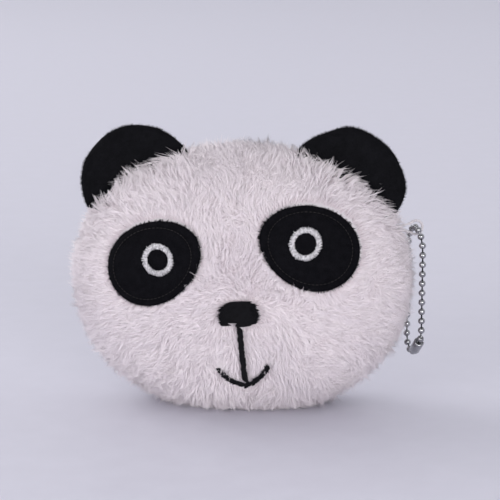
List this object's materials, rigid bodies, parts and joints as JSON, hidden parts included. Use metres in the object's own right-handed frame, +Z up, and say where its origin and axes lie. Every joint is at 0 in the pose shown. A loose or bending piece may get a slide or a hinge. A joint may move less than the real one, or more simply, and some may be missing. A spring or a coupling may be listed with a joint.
{
  "type": "plush panda-face zip purse on a ball chain",
  "caption": "Panda-face plush purse with black ears, felt eye patches and a stitched nose and mouth, a zip in its back and a ball-chain loop at its side.",
  "frame": {"origin": "on the flat base, below the middle of the face's outline and on the y of the pouch's seam less 6 mm", "axes": "+Z up as it stands, the face looks towards -Y, +X is the viewer's right where the chain hangs"},
  "size_m": [0.1223, 0.0489, 0.0968],
  "materials": {
    "white_plush": "long soft pile, matt",
    "black_velvet": "short pile, matt",
    "black_felt": "pressed felt, matt",
    "white_thread": "satin stitch",
    "black_thread": "satin stitch",
    "wadding": "soft wadding",
    "lining": "plain woven",
    "zip_tape": "woven tape",
    "zip_nylon": "matt nylon",
    "cord": "twisted cord",
    "steel": "bright plated"
  },
  "bodies": {
    "pouch": {"face_panel": "white_plush", "face_padding": "wadding", "lining_front": "lining", "back_panel": "white_plush", "lining_back": "lining", "ear_front_left": "black_velvet", "ear_back_left": "black_velvet", "ear_filling_left": "wadding", "ear_front_right": "black_velvet", "ear_back_right": "black_velvet", "ear_filling_right": "wadding", "eye_patch_left": "black_felt", "eye_patch_right": "black_felt", "eye_ring_left": "white_thread", "eye_ring_right": "white_thread", "nose": "black_thread", "mouth_line": "black_thread", "mouth_arc": "black_thread", "zip_tape_upper": "zip_tape", "zip_tape_lower": "zip_tape", "zip_teeth_upper": "zip_nylon", "zip_teeth_lower": "zip_nylon", "chain_tab": "cord"},
    "slider": {"zip_slider": "steel"},
    "pull": {"zip_pull": "steel"},
    "chain_top": {"chain_bead_01": "steel", "chain_bead_02": "steel", "chain_bead_03": "steel", "chain_bead_04": "steel", "chain_bead_29": "steel", "chain_bead_30": "steel", "chain_bead_31": "steel", "chain_bead_32": "steel"},
    "chain_front": {"chain_bead_05": "steel", "chain_bead_06": "steel", "chain_bead_07": "steel", "chain_bead_08": "steel", "chain_bead_09": "steel", "chain_bead_10": "steel", "chain_bead_11": "steel", "chain_bead_12": "steel"},
    "chain_low": {"chain_bead_13": "steel", "chain_bead_14": "steel", "chain_bead_15": "steel", "chain_bead_16": "steel", "chain_bead_17": "steel", "chain_bead_18": "steel", "chain_bead_19": "steel", "chain_bead_20": "steel", "chain_connector": "steel"},
    "chain_back": {"chain_bead_21": "steel", "chain_bead_22": "steel", "chain_bead_23": "steel", "chain_bead_24": "steel", "chain_bead_25": "steel", "chain_bead_26": "steel", "chain_bead_27": "steel", "chain_bead_28": "steel"}
  },
  "joints": [
    {"name": "zip_slide", "type": "slide", "parent": "pouch", "child": "slider", "axis": [1, 0, 0], "range_m": [-0.047, 0], "deforming": ["zip_teeth_upper", "zip_teeth_lower"]},
    {"name": "pull_swing", "type": "hinge", "parent": "slider", "child": "pull", "pos_m": [0.024, 0.0213, 0.056], "axis": [1, 0, 0], "range_deg": [0, 165]},
    {"name": "chain_swing", "type": "hinge", "parent": "pouch", "child": "chain_top", "pos_m": [0.06, 0.0065, 0.0625], "axis": [-0.35, 0.9367, 0], "range_deg": [-110, 0]},
    {"name": "chain_sway", "type": "hinge", "parent": "chain_top", "child": "chain_front", "pos_m": [0.06263, -0.00055, 0.05425], "axis": [0.9367, 0.35, 0], "range_deg": [-15, 15]},
    {"name": "chain_back_sway", "type": "hinge", "parent": "chain_top", "child": "chain_back", "pos_m": [0.05736, 0.01355, 0.05295], "axis": [0.9367, 0.35, 0], "range_deg": [-15, 15]},
    {"name": "chain_low_level", "type": "hinge", "parent": "chain_front", "child": "chain_low", "pos_m": [0.06263, -0.00055, 0.02785], "axis": [0.9367, 0.35, 0], "range_deg": [-15, 15]}
  ],
  "couplings": [
    {"joint": "chain_back_sway", "follows": "chain_sway", "ratio": 1},
    {"joint": "chain_low_level", "follows": "chain_sway", "ratio": -1}
  ]
}
